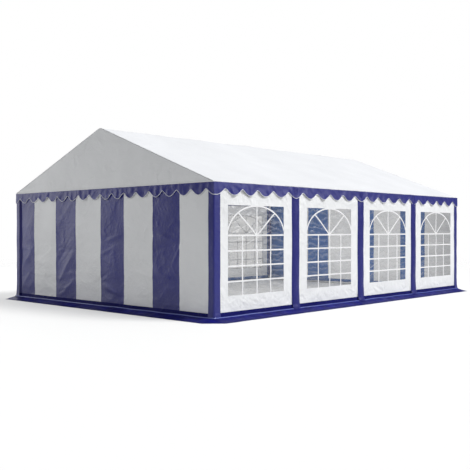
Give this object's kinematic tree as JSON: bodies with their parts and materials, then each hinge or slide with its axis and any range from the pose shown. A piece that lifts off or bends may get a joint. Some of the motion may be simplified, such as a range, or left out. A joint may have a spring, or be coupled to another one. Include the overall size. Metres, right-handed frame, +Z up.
{
  "type": "party tent",
  "caption": "Marquee of bays on a steel tube frame, with a white gable roof, scalloped blue valance, striped gable walls and side walls with arched windows.",
  "frame": {"origin": "on the ground at the middle of the tent's plan", "axes": "+X along the tent's length, from the west gable to the east one; +Y across it, from front to back; +Z up"},
  "size_m": [8.5, 6.2, 3.2198],
  "materials": {
    "roof_white": "coated satin",
    "wall_white": "coated satin",
    "wall_blue": "coated satin",
    "clear_film": "clear gloss film",
    "steel_tube": "galvanised"
  },
  "bodies": {
    "root": {"corner_cover_back_east": "wall_blue", "corner_cover_back_west": "wall_blue", "corner_cover_front_east": "wall_blue", "corner_cover_front_west": "wall_blue", "eave_rail_back": "steel_tube", "eave_rail_front": "steel_tube", "frame_portal_1": "steel_tube", "frame_portal_2": "steel_tube", "frame_portal_3": "steel_tube", "frame_portal_4": "steel_tube", "frame_portal_5": "steel_tube", "gable_triangle_east": "wall_white", "gable_triangle_west": "wall_white", "gable_wall_east_back_blue": "wall_blue", "gable_wall_east_back_white": "wall_white", "gable_wall_east_front_blue": "wall_blue", "gable_wall_east_front_white": "wall_white", "gable_wall_west_back_blue": "wall_blue", "gable_wall_west_back_white": "wall_white", "gable_wall_west_front_blue": "wall_blue", "gable_wall_west_front_white": "wall_white", "ground_bar_back": "steel_tube", "ground_bar_east": "steel_tube", "ground_bar_front": "steel_tube", "ground_bar_west": "steel_tube", "ground_skirt_back": "wall_blue", "ground_skirt_east": "wall_blue", "ground_skirt_front": "wall_blue", "ground_skirt_west": "wall_blue", "post_cover_back_1": "wall_blue", "post_cover_back_2": "wall_blue", "post_cover_back_3": "wall_blue", "post_cover_front_1": "wall_blue", "post_cover_front_2": "wall_blue", "post_cover_front_3": "wall_blue", "ridge_rail": "steel_tube", "roof_slope_back": "roof_white", "roof_slope_front": "roof_white", "valance_back": "wall_blue", "valance_east": "wall_blue", "valance_front": "wall_blue", "valance_west": "wall_blue", "wall_band_back": "wall_blue", "wall_band_front": "wall_blue", "window_film_back": "clear_film", "window_film_front": "clear_film", "window_panel_back_1": "wall_white", "window_panel_back_2": "wall_white", "window_panel_back_3": "wall_white", "window_panel_back_4": "wall_white", "window_panel_front_1": "wall_white", "window_panel_front_2": "wall_white", "window_panel_front_3": "wall_white", "window_panel_front_4": "wall_white"}
  },
  "joints": []
}
